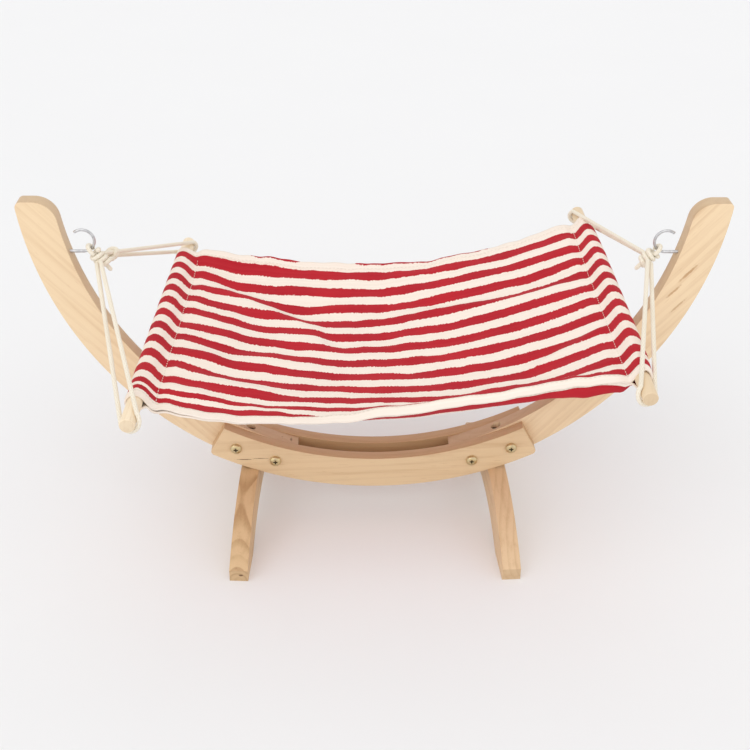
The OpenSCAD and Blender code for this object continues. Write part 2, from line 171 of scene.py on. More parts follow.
def vectorCalc(tree, operation, *values):
    made = addNode(tree, "VectorMath", {"operation": operation}, dict(enumerate(values)))
    return made["Value" if operation == "LENGTH" else "Vector"]


def split(tree, vector):
    return addNode(tree, "SeparateXYZ", None, {0: vector})


def mixColour(tree, factor, a, b):
    settings = {"data_type": "RGBA", "blend_type": "MIX", "clamp_factor": True}
    return addNode(tree, "Mix", settings, {0: factor, 6: a, 7: b})[2]


def noiseOn(tree, vector, scale, detail=2.0, roughness=0.5):
    if isinstance(scale, tuple):
        vector, scale = vectorCalc(tree, "MULTIPLY", vector, scale), 1.0
    inputs = {"Vector": vector, "Scale": scale, "Detail": detail, "Roughness": roughness}
    return addNode(tree, "TexNoise", None, inputs)["Fac"]


def perStep(tree, value):
    settings = {"noise_dimensions": "1D"}
    return addNode(tree, "TexWhiteNoise", settings, {"W": calc(tree, "FLOOR", value)})["Value"]


def ramp(tree, value, low, high, outLow=0.0, outHigh=1.0):
    settings = {"interpolation_type": "SMOOTHSTEP", "clamp": True}
    inputs = {"Value": value, "From Min": low, "From Max": high, "To Min": outLow, "To Max": outHigh}
    return addNode(tree, "MapRange", settings, inputs)["Result"]


def bumped(tree, height, strength, distance):
    inputs = {"Height": height, "Strength": strength, "Distance": distance}
    return addNode(tree, "Bump", None, inputs)["Normal"]


def newGroup(name, inputs, outputs):
    tree = bpy.data.node_groups.new(name, "ShaderNodeTree")
    for way, sockets in (("INPUT", inputs), ("OUTPUT", outputs)):
        for label, kind in sockets.items():
            tree.interface.new_socket(name=label, in_out=way, socket_type="NodeSocket" + kind)
    return tree, tree.nodes.new("NodeGroupInput").outputs, tree.nodes.new("NodeGroupOutput").inputs


def newMaterial(name):
    material = bpy.data.materials.new(name)
    material.use_nodes = True
    return material, material.node_tree


def dressed(material, inputs):
    put(material.node_tree, material.node_tree.nodes["Principled BSDF"].inputs, inputs)
    return material


def dressedFabric(material, s, colour, height):
    normal = bumped(material.node_tree, height, *s["bump"])
    return dressed(material, {**s["shader"], "Base Color": colour, "Normal": normal})


# Wood: growth rings about a slanted line, fibres, streaks, blotches and dark flecks; grain along local X
grainSet = {
    "wander": {"scale": (3.0, 14.0, 14.0), "rings": 2.4},
    "late": {"from": 0.35, "to": 0.9, "least": 0.25},
    "fibre": {"scale": (22.0, 900.0, 900.0), "roughness": 0.6, "tone": 0.24},
    "streak": {"scale": (5.0, 150.0, 150.0), "roughness": 0.55, "from": 0.45, "to": 0.8, "tone": 0.28},
    "blotch": {"scale": (7.0, 22.0, 22.0), "tone": 0.5},
    "fleck": {"scale": (60.0, 1100.0, 1100.0), "from": 0.68, "to": 0.76, "tone": 0.35},
    "gloss": {"plain": 0.4, "fibre": 0.22, "late": -0.1},
    "relief": {"fibre": 0.7, "late": 0.5},
    "bump": (0.22, 0.0004),
}
finishSockets = {"Color": "Color", "Roughness": "Float", "Normal": "Vector"}


def makeWoodGroup(s):
    sockets = {"Vector": "Vector", "Pale": "Color", "Dark": "Color", "Offset": "Vector", "Slope": "Vector"}
    tree, start, end = newGroup("woodGrain", {**sockets, "Ring": "Float", "Depth": "Float"}, finishSockets)
    place = start["Vector"]
    wander = noiseOn(tree, place, s["wander"]["scale"])
    at = split(tree, vectorCalc(tree, "ADD", place, start["Offset"]))
    slope = split(tree, start["Slope"])
    acrossY, acrossZ = (fit(tree, at["X"], slope[axis], at[axis]) for axis in "YZ")
    reach = calc(tree, "SQRT", plus(tree, times(tree, acrossY, acrossY), times(tree, acrossZ, acrossZ)))
    wander = times(tree, wander, s["wander"]["rings"])
    rings = plus(tree, calc(tree, "DIVIDE", reach, start["Ring"]), wander)
    part = calc(tree, "FRACT", rings)
    late = ramp(tree, part, s["late"]["from"], s["late"]["to"])
    late = times(tree, late, ramp(tree, part, s["late"]["to"], 1.0, 1.0, 0.0))
    late = times(tree, late, fit(tree, perStep(tree, rings), 1 - s["late"]["least"], s["late"]["least"]))
    fibre = noiseOn(tree, place, s["fibre"]["scale"], 3.0, s["fibre"]["roughness"])
    streak = noiseOn(tree, place, s["streak"]["scale"], 3.0, s["streak"]["roughness"])
    fleck = noiseOn(tree, place, s["fleck"]["scale"], 1.0)
    tone = times(tree, late, start["Depth"])
    for label, spread in (("streak", streak), ("fleck", fleck)):
        share = ramp(tree, spread, s[label]["from"], s[label]["to"])
        tone = plus(tree, tone, times(tree, share, s[label]["tone"]))
    tone = plus(tree, tone, swing(tree, fibre, s["fibre"]["tone"]))
    blotch = swing(tree, noiseOn(tree, place, s["blotch"]["scale"]), s["blotch"]["tone"])
    tone = calc(tree, "ADD", tone, blotch, clampIt=True)
    rough = fit(tree, fibre, s["gloss"]["fibre"], s["gloss"]["plain"])
    height = plus(tree, times(tree, fibre, s["relief"]["fibre"]), times(tree, late, s["relief"]["late"]))
    finish = {
        "Color": mixColour(tree, tone, start["Pale"], start["Dark"]),
        "Roughness": plus(tree, rough, times(tree, late, s["gloss"]["late"])),
        "Normal": bumped(tree, height, *s["bump"]),
    }
    put(tree, end, finish)
    return tree


woodGroup = makeWoodGroup(grainSet)
woodShader = {"Specular IOR Level": 0.3, "Coat Weight": 0.06, "Coat Roughness": 0.35}
markSet = {"scale": 500.0, "ragged": 0.8, "solid": 0.35}


def makeWood(s):
    material, tree = newMaterial(s["name"])
    place = addNode(tree, "TexCoord")["Object"]

    def alongGrain(vector):
        inputs = {"Vector": vector, "Rotation": s["turn"]}
        return addNode(tree, "Mapping", {"vector_type": "TEXTURE"}, inputs)["Vector"]

    turned = alongGrain(place)
    inputs = {label: s[label.lower()] for label in ("Pale", "Dark", "Offset", "Slope", "Ring", "Depth")}
    grain = addNode(tree, "Group", {"node_tree": woodGroup}, {"Vector": turned, **inputs})
    # Painted shade on the boards' narrow sides and in the gap between the rails, and darker end grain,
    # mixed in by a face attribute
    rim = addNode(tree, "Attribute", {"attribute_name": "rim"})["Fac"]
    colour = mixColour(tree, times(tree, rim, s["rim"]), grain["Color"], s["rimColour"])
    for mark in s["marks"]:
        near = alongGrain(vectorCalc(tree, "SUBTRACT", place, mark["place"]))
        away = vectorCalc(tree, "LENGTH", vectorCalc(tree, "DIVIDE", near, mark["size"]))
        ragged = swing(tree, noiseOn(tree, turned, markSet["scale"]), markSet["ragged"])
        spot = ramp(tree, plus(tree, away, ragged), markSet["solid"], 1.0, 1.0, 0.0)
        colour = mixColour(tree, times(tree, spot, mark["depth"]), colour, mark["colour"])
    finish = {"Base Color": colour, "Roughness": grain["Roughness"], "Normal": grain["Normal"]}
    return dressed(material, {**woodShader, **finish})


# Metal: fine scratches and cloudy tarnish
metalSet = {
    "cloud": 320.0,
    "scratch": (300.0, 2600.0, 2600.0),
    "tarnish": (0.35, 0.7),
    "gloss": {"plain": 0.14, "cloud": 0.3, "scratch": 0.14},
    "bump": (0.12, 0.0002),
}


def makeMetalGroup(s):
    tree, start, end = newGroup(
        "wornMetal", {"Vector": "Vector", "Base": "Color", "Tint": "Color"}, finishSockets
    )
    cloud = noiseOn(tree, start["Vector"], s["cloud"], 3.0)
    scratch = noiseOn(tree, start["Vector"], s["scratch"])
    rough = fit(tree, cloud, s["gloss"]["cloud"], s["gloss"]["plain"])
    finish = {
        "Color": mixColour(tree, ramp(tree, cloud, *s["tarnish"]), start["Base"], start["Tint"]),
        "Roughness": plus(tree, rough, times(tree, scratch, s["gloss"]["scratch"])),
        "Normal": bumped(tree, scratch, *s["bump"]),
    }
    put(tree, end, finish)
    return tree


metalGroup = makeMetalGroup(metalSet)


def makeMetal(name, base, tint):
    material, tree = newMaterial(name)
    inputs = {"Vector": addNode(tree, "TexCoord")["Object"], "Base": base, "Tint": tint}
    worn = addNode(tree, "Group", {"node_tree": metalGroup}, inputs)
    finish = {"Base Color": worn["Color"], "Roughness": worn["Roughness"], "Normal": worn["Normal"]}
    return dressed(material, {"Metallic": 1.0, **finish})


# Plain weave, on a coordinate in metres: how high the threads stand, and each thread's own shade
weaveSet = {
    "crossing": 0.35,
    "ridge": 0.4,
    "thread": 0.5,
    "slub": {"scale": (40.0, 1500.0, 1.0), "height": 0.8, "shade": 0.5},
}


def makeWeaveGroup(s):
    tree, start, end = newGroup(
        "plainWeave", {"Vector": "Vector", "Pitch": "Float"}, {"Height": "Float", "Shade": "Float"}
    )
    at = split(tree, start["Vector"])
    u, v = (calc(tree, "DIVIDE", at[axis], start["Pitch"]) for axis in "XY")
    turnU, turnV = (calc(tree, "SINE", times(tree, thread, math.pi)) for thread in (u, v))
    ridge = plus(tree, calc(tree, "ABSOLUTE", turnU), calc(tree, "ABSOLUTE", turnV))
    over = times(tree, times(tree, turnU, turnV), s["crossing"])
    height = plus(tree, over, times(tree, ridge, s["ridge"]))
    slub = noiseOn(tree, start["Vector"], s["slub"]["scale"])
    shade = times(tree, perStep(tree, v), s["thread"])
    finish = {
        "Height": plus(tree, height, times(tree, slub, s["slub"]["height"])),
        "Shade": plus(tree, shade, times(tree, slub, s["slub"]["shade"])),
    }
    put(tree, end, finish)
    return tree


weaveGroup = makeWeaveGroup(weaveSet)
canvasShades = {
    "pitch": 0.0009,
    "redShare": 0.515,
    "redBlur": 0.012,
    "raggedEdges": (((60.0, 900.0, 1.0), 0.08), (70.0, 0.08), ((480.0, 150.0, 1.0), 0.12)),  # scale, reach
    "cream": (0.96, 0.86, 0.775, 1),
    "creamDeep": (0.88, 0.77, 0.67, 1),
    "creamShade": 0.8,
    "red": (0.50, 0.014, 0.026, 1),
    "redDeep": (0.42, 0.010, 0.022, 1),
    "redPale": (0.60, 0.05, 0.06, 1),
    "redShade": 0.35,
    "fading": 14.0,
    "fades": (0.3, 0.7),
    "bump": (0.3, 0.0003),
    "shader": {"Roughness": 0.86, "Specular IOR Level": 0.15, "Sheen Weight": 0.03, "Sheen Roughness": 0.5},
}


def makeCanvas(name, s):
    material, tree = newMaterial(name)
    cloth, stripes = (addNode(tree, "UVMap", {"uv_map": layer})["UV"] for layer in ("cloth", "stripes"))
    weave = addNode(tree, "Group", {"node_tree": weaveGroup}, {"Vector": cloth, "Pitch": s["pitch"]})
    cream = mixColour(tree, times(tree, weave["Shade"], s["creamShade"]), s["cream"], s["creamDeep"])
    phase = split(tree, stripes)["Y"]
    for scale, reach in s["raggedEdges"]:
        phase = plus(tree, phase, swing(tree, noiseOn(tree, cloth, scale), reach))
    away = calc(tree, "ABSOLUTE", calc(tree, "SUBTRACT", phase, calc(tree, "ROUND", phase)))
    red = ramp(tree, away, s["redShare"] / 2 + s["redBlur"], s["redShare"] / 2 - s["redBlur"])
    faded = ramp(tree, noiseOn(tree, cloth, s["fading"], 3.0), *s["fades"])
    dye = mixColour(tree, faded, s["red"], s["redDeep"])
    dye = mixColour(tree, times(tree, weave["Shade"], s["redShade"]), dye, s["redPale"])
    return dressedFabric(material, s, mixColour(tree, red, cream, dye), weave["Height"])


threadShades = {
    "pale": (0.88, 0.83, 0.74, 1),
    "deep": (0.70, 0.62, 0.50, 1),
    "ply": (2500.0, 700.0, 2500.0),
    "bump": (0.3, 0.0002),
    "shader": {"Roughness": 0.7, "Specular IOR Level": 0.25, "Sheen Weight": 0.1},
}


def makeThread(name, s):
    material, tree = newMaterial(name)
    ply = noiseOn(tree, addNode(tree, "TexCoord")["Object"], s["ply"])
    return dressedFabric(material, s, mixColour(tree, ply, s["pale"], s["deep"]), ply)


# Braided cotton: two sets of strands that cross, on UV of turns round and metres along
ropeShades = {
    "pale": (0.88, 0.82, 0.70, 1),
    "deep": (0.78, 0.70, 0.56, 1),
    "strands": 6,
    "lay": 0.0058,
    # Where the braid's grooves are painted darker, as shade
    "grooveShade": (0.75, 0.2),
    "soil": {"scale": 45.0, "from": 0.4, "to": 0.75, "depth": 0.35},
    "fluff": 1900.0,
    "relief": {"braid": 0.7, "fluff": 0.4},
    "bump": (0.3, 0.0003),
    "shader": {"Roughness": 0.82, "Specular IOR Level": 0.2, "Sheen Weight": 0.15, "Sheen Roughness": 0.5},
}


def makeRope(name, s):
    material, tree = newMaterial(name)
    at = split(tree, addNode(tree, "UVMap", {"uv_map": "braid"})["UV"])
    around = times(tree, at["X"], s["strands"] * math.tau)
    along = times(tree, at["Y"], math.tau / s["lay"])
    ways = (calc(tree, "COSINE", calc(tree, way, around, along)) for way in ("ADD", "SUBTRACT"))
    braid = fit(tree, calc(tree, "MAXIMUM", *ways), 0.5, 0.5)
    place = addNode(tree, "TexCoord")["Object"]
    soil = ramp(tree, noiseOn(tree, place, s["soil"]["scale"]), s["soil"]["from"], s["soil"]["to"])
    # The grooves between the strands get the deeper colour as painted shade
    colour = mixColour(tree, ramp(tree, braid, *s["grooveShade"]), s["pale"], s["deep"])
    colour = mixColour(tree, times(tree, soil, s["soil"]["depth"]), colour, s["deep"])
    fluff = times(tree, noiseOn(tree, place, s["fluff"], 3.0), s["relief"]["fluff"])
    height = plus(tree, times(tree, braid, s["relief"]["braid"]), fluff)
    return dressedFabric(material, s, colour, height)


canvasMaterial = makeCanvas("stripedCanvas", canvasShades)
threadMaterial = makeThread("sewingThread", threadShades)
ropeMaterial = makeRope("cottonRope", ropeShades)
print("shared materials made")


# Lines of points
def distances(points):
    made = [0.0]
    for a, b in zip(points, points[1:]):
        made.append(made[-1] + (b - a).length)
    return made


# The stretch of the line that holds a distance along it, and the point there
def spotOn(points, lengths, want):
    i = min(bisect.bisect_left(lengths, want, 1), len(points) - 1) - 1
    share = (want - lengths[i]) / max(1e-9, lengths[i + 1] - lengths[i])
    return i, points[i].lerp(points[i + 1], clamp(share))


def resample(points, step):
    lengths = distances(points)
    count = max(2, round(lengths[-1] / step))
    return [spotOn(points, lengths, lengths[-1] * k / count)[1] for k in range(count + 1)]


def angles(turn, count):
    return [turn * i / count for i in range(count + 1)]


# Faces between closed lines of points; each UV layer has a function of the line and the place on it
def addBand(made, lines, layers):
    layers = [(made.loops.layers.uv.new(label), at) for label, at in layers.items()]
    rows = [[made.verts.new(p) for p in line] for line in lines]
    count = len(rows[0])
    for j in range(len(rows) - 1):
        for i in range(count):
            n = (i + 1) % count
            face = made.faces.new((rows[j][i], rows[j][n], rows[j + 1][n], rows[j + 1][i]))
            face.smooth = True
            for loop, corner in zip(face.loops, ((j, i), (j, i + 1), (j + 1, i + 1), (j + 1, i))):
                for layer, at in layers:
                    loop[layer].uv = at(*corner)
    return rows


def addTube(made, rings, layers):
    rows = addBand(made, rings, layers)
    made.faces.new(list(reversed(rows[0])))
    made.faces.new(rows[-1])


# Ropes: tubes along the same routes as the part's solids
ropeSet = {
    "radius": 2.3,
    "around": 14,
    "step": 1.3,
    "lumps": 0.06,
    "lumpScale": 420,
    "tipShare": 0.25,
    "windingFrom": 17.6,
    "windingPitch": 5.2,
    "windingTurns": 3,
    "windingRadius": 5.4,
    "windingSteps": 36,
    "windingLoose": 0.05,
    "windingWave": 0.7,
    "startY": 8.2,
    "meetY": 197.7,
    "bightRadius": 10.2,
    "bightLean": 6,
    "bendSteps": 24,
    "leadHalf": 2.6,
    "eyeRadius": 5.4,
    "eyeRest": 7.8,
    "eyeLegEnd": 14.6,
    "eyeLegShares": (0.75, 0.25),
    "tail": 12,
    "tailDrop": 3.5,
    "tailSteps": 8,
    "tab": 8,
    "knotRadius": 2.5,
    "knotStep": 0.9,
    "collarFrom": 19,
    "collarPitch": 4.4,
    "collarTurns": 1.6,
    "collarHalf": (7.2, 4.7),
}
pulls = [(bedSet["mids"][i] - bedSet["hooks"][i]).normalized() for i in (0, 1)]
acrosses = [pulls[i].cross(yAxis) for i in (0, 1)]


def ropePiece(name, path, radius, s):
    centres = [p * mm for p in path]
    thick = radius * mm
    last = len(centres) - 1
    ways = [(centres[min(i + 1, last)] - centres[max(i - 1, 0)]).normalized() for i in range(last + 1)]
    along = distances(centres)
    normal = ways[0].orthogonal().normalized()
    rings = []
    for i, (centre, way) in enumerate(zip(centres, ways)):
        normal = (normal - normal.dot(way) * way).normalized()
        side = way.cross(normal)
        fromEnd = min(1.0, along[i] / thick, (along[-1] - along[i]) / thick)
        size = thick * max(math.sqrt(clamp(1 - (1 - fromEnd) ** 2)), s["tipShare"])
        ring = []
        for k in range(s["around"]):
            a = math.tau * k / s["around"]
            out = math.cos(a) * normal + math.sin(a) * side
            lump = 1 + s["lumps"] * noise.noise((centre + out * thick) * s["lumpScale"])
            ring.append(centre + out * size * lump)
        rings.append(ring)
    made = bmesh.new()
    addTube(made, rings, {"braid": lambda j, k: (k / s["around"], along[j])})
    return newPiece(name, meshOf(name, made), "bed", ropeMaterial)


def ropeRoute(side, end, s):
    u, n = pulls[side], acrosses[side]
    knot = bedSet["hooks"][side] + u * (s["windingFrom"] + s["windingPitch"] * s["windingTurns"] / 2)
    leads = [knot + n * w * s["leadHalf"] + yAxis * end * s["startY"] for w in (1, -1)]
    bight = []
    for a in angles(math.pi, s["bendSteps"]):
        middle = dowelAt(side, end * (s["meetY"] + s["bightLean"] * math.sin(a)))
        bight.append(middle + s["bightRadius"] * (math.cos(a) * n + math.sin(a) * u))
    return [leads[0]] + bight + [leads[1]]


ropeEnds = {
    "left_front_rope": (0, -1),
    "left_rear_rope": (0, 1),
    "right_front_rope": (1, -1),
    "right_rear_rope": (1, 1),
}
for nodeName, (side, end) in ropeEnds.items():
    route = resample(ropeRoute(side, end, ropeSet), ropeSet["step"])
    piece = ropePiece(nodeName + "Braid", route, ropeSet["radius"], ropeSet)
    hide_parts(nodeName)


# A knot's winding, the eye on the hook and the core between them
def knotRoutes(side, s):
    u, n, h = pulls[side], acrosses[side], bedSet["hooks"][side]
    turns = []
    for a in angles(math.tau * s["windingTurns"], s["windingTurns"] * s["windingSteps"]):
        loose = 1 + s["windingLoose"] * math.sin(a * s["windingWave"] + side)
        swirl = math.cos(a) * n + math.sin(a) * yAxis
        start = h + u * (s["windingFrom"] + s["windingPitch"] * a / math.tau)
        turns.append(start + s["windingRadius"] * loose * swirl)
    firstWay = (turns[0] - turns[1]).normalized()
    lastWay = (turns[-1] - turns[-2]).normalized()
    tail = []
    for t in angles(1.0, s["tailSteps"])[1:]:
        tail.append(turns[-1] + lastWay * s["tail"] * t + Vector((0, 0, -s["tailDrop"])) * t * t)
    winding = [turns[0] + firstWay * s["radius"] * k for k in (2, 1)] + turns + tail
    legs = [s["eyeLegEnd"] + s["windingPitch"] * share for share in s["eyeLegShares"]]
    eye = [h + u * legs[0] - yAxis * s["eyeRadius"]]
    for a in angles(math.pi, s["bendSteps"]):
        rise = s["eyeRest"] + s["eyeRadius"] - s["eyeRadius"] * math.sin(a)
        eye.append(h + u * rise - yAxis * s["eyeRadius"] * math.cos(a))
    eye.append(h + u * legs[1] + yAxis * s["eyeRadius"])
    coreEnd = s["windingFrom"] + s["windingPitch"] * s["windingTurns"] + s["radius"] + s["tab"]
    return winding, eye, [h + u * s["windingFrom"], h + u * coreEnd]


# Loose turns round a rope's two strands, close to its knot
def collarRoute(side, end, s):
    route = ropeRoute(side, end, s)
    first, second = (route[0] + route[-1]) / 2, (route[1] + route[-2]) / 2
    way = (second - first).normalized()
    wide = (acrosses[side] - acrosses[side].dot(way) * way).normalized()
    thin = way.cross(wide)
    made = []
    for i in range(round(s["bendSteps"] * s["collarTurns"]) + 1):
        turn = i / s["bendSteps"]
        a = math.tau * turn
        swirl = wide * s["collarHalf"][0] * math.cos(a) + thin * s["collarHalf"][1] * math.sin(a)
        made.append(first + way * (s["collarFrom"] + s["collarPitch"] * turn) + swirl)
    return made


for nodeName, side in (("left_knot", 0), ("right_knot", 1)):
    winding, eye, core = knotRoutes(side, ropeSet)
    inner = {"Eye": eye, "Core": core}
    if side == 0:
        inner["Collar"] = collarRoute(0, 1, ropeSet)
    for label, route in inner.items():
        line = resample(route, ropeSet["step"])
        ropePiece(nodeName + label, line, ropeSet["radius"], ropeSet)
    line = resample(winding, ropeSet["knotStep"])
    piece = ropePiece(nodeName + "Winding", line, ropeSet["knotRadius"], ropeSet)
    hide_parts(nodeName)
print("ropes and knots made")


# Canvas: one loop of cloth round both dowels; first stripes and pitch are left and right
canvasSet = {
    "columns": 190,
    "lowerColumns": 90,
    "sleeveColumns": 10,
    "columnEase": 0.55,
    "rows": 120,
    "thickness": 1.0,
    "leastGap": 1.9,
    "upperFirst": (157.2, 145.5),
    "lowerFirst": (150.0, 141.2),
    "pitch": (29.97, 31.1),
    "seamDip": 3.0,
    "seamReach": 7.0,
    "foldsFrom": 5.0,
    "foldsReach": 17.5,
    "sleeveLumps": {"rise": 0.5, "wave": (1, 26), "seed": 2.0},
    "sleeveSquare": 8,
    "underLumps": {"rise": 0.8, "wave": (40, 32), "seed": 21.0, "from": 20, "reach": 30},
}
# Folds: a line, how far the cloth rises in front of it and drops behind it, and how far that reaches
foldSets = (
    {
        "line": (
            (-220, 134), (-170, 112), (-125, 91), (-75, 58), (-57, 33), (-42, 5), (-28, -25), (-22, -60),
        ),
        "rise": 3.4,
        "drop": 3.6,
        "half": 13.0,
        "front": 28.0,
        "behind": 30.0,
        "fadeIn": 0.25,
        "fadeOut": 0.5,
    },
    {
        "line": ((10, 80), (75, 72), (120, 62), (165, 54), (240, 50)),
        "rise": 5.0,
        "drop": 1.0,
        "half": 9.0,
        "front": 28.0,
        "behind": 45.0,
        "fadeIn": 0.3,
        "fadeOut": 0.2,
    },
    {
        "line": ((120, -94), (165, -82), (205, -70), (246, -60)),
        "rise": 2.4,
        "drop": 2.4,
        "half": 8.0,
        "front": 20.0,
        "behind": 22.0,
        "fadeIn": 0.5,
        "fadeOut": 0.15,
    },
)
# Swells: middle, half lengths along and across, height and turn in degrees
swellSets = (
    ((215, 135), (36, 42), 4.0, 0),
    ((165, -112), (48, 24), -4.5, -30),
    ((10, -125), (48, 24), 2.5, 0),
    ((-150, -78), (30, 18), -3.0, 10),
    ((-150, -24), (30, 14), -2.8, 10),
    ((-182, -50), (22, 14), 2.5, 0),
    ((-70, 122), (32, 16), 3.2, -15),
    ((-35, 90), (28, 14), 2.6, -15),
    ((-50, 140), (45, 26), 3.0, 0),
    ((112, 110), (46, 42), 4.2, 0),
)
# Wrinkles: puckers along the hems, gathers along the seams, and creases that fade from left to right
wrinkleSet = {
    "pucker": {"length": 26.0, "rise": 0.4, "reach": 22.0, "bend": 9, "wave": (60, 200), "seed": 3.0},
    "gather": {"length": 19.0, "rise": 0.9, "reach": 24.0, "bend": 8, "wave": (200, 50), "seed": 9.0},
    "gatherStart": 6,
    "crease": {"rises": (3.4, 1.6), "from": -160, "over": 260, "wave": (40, 27), "seed": 1.5},
    "fine": {"rise": 0.7, "wave": (15, 12), "seed": 5.5},
}
# Front and rear edges, by distance along X: their lift, the front hem that rolls over and hangs,
# the cloth gathered towards the front, the sleeve's end drawn back, and the lower layer's bulge
edgeSet = {
    "frontLift": (
        (-240, -1), (-168, -3), (-120, -1), (-72, 0.5), (-25, 4), (0, 6.5), (60, 8.5), (108, 8.2),
        (155, 9.2), (184, 9), (205, 6), (240, 1),
    ),
    "frontFrom": 132.0,
    "frontReach": 28.0,
    "rearLift": ((-190, 5), (-130, 1), (-70, -5), (-35, -6.5), (60, -5.5), (110, -2), (165, 0), (235, 2.5)),
    "rearReach": 30.0,
    "rearGap": 2.4,
    "lipFrom": ((-60, 163), (60, 163.5), (120, 164), (215, 164), (245, 164)),
    "lipBend": 6.0,
    "lipSteps": 8,
    "lipAngle": ((-75, 0), (-25, 18), (20, 35), (60, 80), (205, 75), (240, 15)),
    "lipFull": 80,
    "gather": ((-225, 20), (-105, 20), (-75, 15), (-45, 8), (-15, 4), (20, 2), (60, 0), (215, 0), (238, 9)),
    "gatherFrom": ((-230, 140), (-150, 128), (-72, 122), (60, 125), (238, 136)),
    "gatherTo": 161.0,
    "draw": ((-215, 6), (-165, 0)),
    "drawFrom": 110.0,
    "mouth": ((-225, 3.6), (-200, 2.8), (-165, 1.5), (-110, 0), (222, 0), (240, 2)),
    "pinchFrom": 7.0,
    "pinchReach": 12.0,
    "looseDrop": 3.5,  # the right sleeve, slack below the dowel at the front
    "looseFrom": 100,
    "looseReach": 70,
    "tuckFrom": 140.0,
    "tuckLead": 13,
    "tuckIn": (1.0, 1.8),  # how far the lower edge lies behind the hem: always, and where the hem is rolled
    "tuckUp": 1.5,
    "tuckFlat": (9, 2.5),
    "tuckRolled": 1.5,
    "bulge": ((0, 0), (60, 1), (100, 2.5), (155, 6.5), (205, 12.5), (248, 10)),
    "bulgePull": 2.8,
    "bulgeFrom": 3,
    "bulgeReach": 15,
}


def alongKnots(points, x):
    if x <= points[0][0]:
        return points[0][1]
    for (a, p), (b, q) in zip(points, points[1:]):
        if x <= b:
            return p + (q - p) * smooth((x - a) / (b - a))
    return points[-1][1]


def smoothLine(points, steps=4):
    made = []
    last = len(points) - 1
    for i in range(last):
        p0, p1, p2, p3 = (Vector(points[clamp(i + k, 0, last)]) for k in (-1, 0, 1, 2))
        square, cube = 2 * p0 - 5 * p1 + 4 * p2 - p3, 3 * p1 - p0 - 3 * p2 + p3
        for k in range(steps):
            t = k / steps
            made.append(0.5 * (2 * p1 + (p2 - p0) * t + square * t * t + cube * t**3))
    made.append(Vector(points[-1]))
    return made


foldLines = [smoothLine(s["line"]) for s in foldSets]


# How far a place lies beside a line, to the left of its way, and its share of the line's length
def besideLine(line, x, y):
    best = None
    lengths = distances(line)
    for a, b, before, after in zip(line, line[1:], lengths, lengths[1:]):
        wayX, wayY = (b.x - a.x) / (after - before), (b.y - a.y) / (after - before)
        along = clamp((x - a.x) * wayX + (y - a.y) * wayY, 0, after - before)
        away = math.hypot(x - a.x - wayX * along, y - a.y - wayY * along)
        if best is None or away < best[0]:
            turn = wayX * (y - a.y) - wayY * (x - a.x)
            best = (away, math.copysign(away, turn), (before + along) / lengths[-1])
    return best[1], best[2]


def foldHeight(x, y):
    z = 0.0
    for s, line in zip(foldSets, foldLines):
        beside, along = besideLine(line, x, y)
        up = s["rise"] * math.exp(-max(0.0, -beside - s["half"]) / s["front"])
        down = -s["drop"] * math.exp(-max(0.0, beside - s["half"]) / s["behind"])
        fade = smooth(along / s["fadeIn"]) * smooth((1 - along) / s["fadeOut"])
        z += (up + (down - up) * smooth((beside + s["half"]) / (2 * s["half"]))) * fade
    for middle, size, rise, turn in swellSets:
        a = math.radians(turn)
        px, py = x - middle[0], y - middle[1]
        u = (px * math.cos(a) + py * math.sin(a)) / size[0]
        v = (py * math.cos(a) - px * math.sin(a)) / size[1]
        z += rise * math.exp(-u * u - v * v)
    return z


def fromDowel(d, y):
    return min(d, bedSpan(y) - d)


def fromSeam(d, y):
    left, right = bedSet["sleeveWidths"]
    return d - left if d < bedSpan(y) / 2 else bedSpan(y) - d - right


def sleeveShare(d, y):
    left, right = bedSet["sleeveWidths"]
    return (1 + math.cos(math.pi * min(d / left, (bedSpan(y) - d) / right, 1.0))) / 2


def lumpAt(x, y, s):
    return noise.noise(Vector((x / s["wave"][0], y / s["wave"][1], s["seed"])))


def wrinkleHeight(x, y, away):
    pucker, gather, crease, fine = (wrinkleSet[key] for key in ("pucker", "gather", "crease", "fine"))
    wave = math.sin(math.tau * (x + pucker["bend"] * lumpAt(x, y, pucker)) / pucker["length"])
    z = pucker["rise"] * wave * math.exp(-(clothHalf - abs(y)) / pucker["reach"])
    wave = math.sin(math.tau * (y + gather["bend"] * lumpAt(x, y, gather)) / gather["length"])
    share = math.exp(-max(0.0, away) / gather["reach"]) * smooth(away / wrinkleSet["gatherStart"])
    z += gather["rise"] * wave * share
    left, right = crease["rises"]
    z += (left + (right - left) * smooth((x - crease["from"]) / crease["over"])) * lumpAt(x, y, crease)
    return z + fine["rise"] * lumpAt(x, y, fine)


def rearShare(y):
    return smooth((y - clothHalf + edgeSet["rearReach"]) / edgeSet["rearReach"])


def edgeHeight(x, y):
    front = smooth((-y - edgeSet["frontFrom"]) / edgeSet["frontReach"])
    return alongKnots(edgeSet["frontLift"], x) * front + alongKnots(edgeSet["rearLift"], x) * rearShare(y)


def bedHeight(d, y):
    r = bedSet["sleeveRadius"]
    s, v = clamp((d - r) / (bedSpan(y) - 2 * r)), y / clothHalf
    inner = 1 - abs(v) ** bedSet["dishPower"]
    dip = fromSeam(d, y) / canvasSet["seamReach"]
    return (
        dowelAt(0, y).z * (1 - s)
        + dowelAt(1, y).z * s
        - 4 * s * (1 - s) * (bedSet["sag"] + bedSet["dish"] * inner)
        + (bedSet["twist"] - bedSet["skew"] * inner) * v * math.sin(math.tau * s)
        - canvasSet["seamDip"] * math.exp(-dip * dip)
    )


def layerHalf(d, y):
    return bedSet["seamHalf"] + (bedSet["sleeveRadius"] - bedSet["seamHalf"]) * sleeveShare(d, y)


def layerDrop(d, y):
    left, right = bedSet["sleeveWidths"]
    e = clamp((d - left) / (bedSpan(y) - left - right))
    inner = min(1.0, (clothHalf - abs(y)) / bedSet["edgeRoll"])
    share = bedSet["edgeShare"] + (1 - bedSet["edgeShare"]) * inner
    return bedSet["layerGap"] * math.sqrt(4 * e * (1 - e)) * share


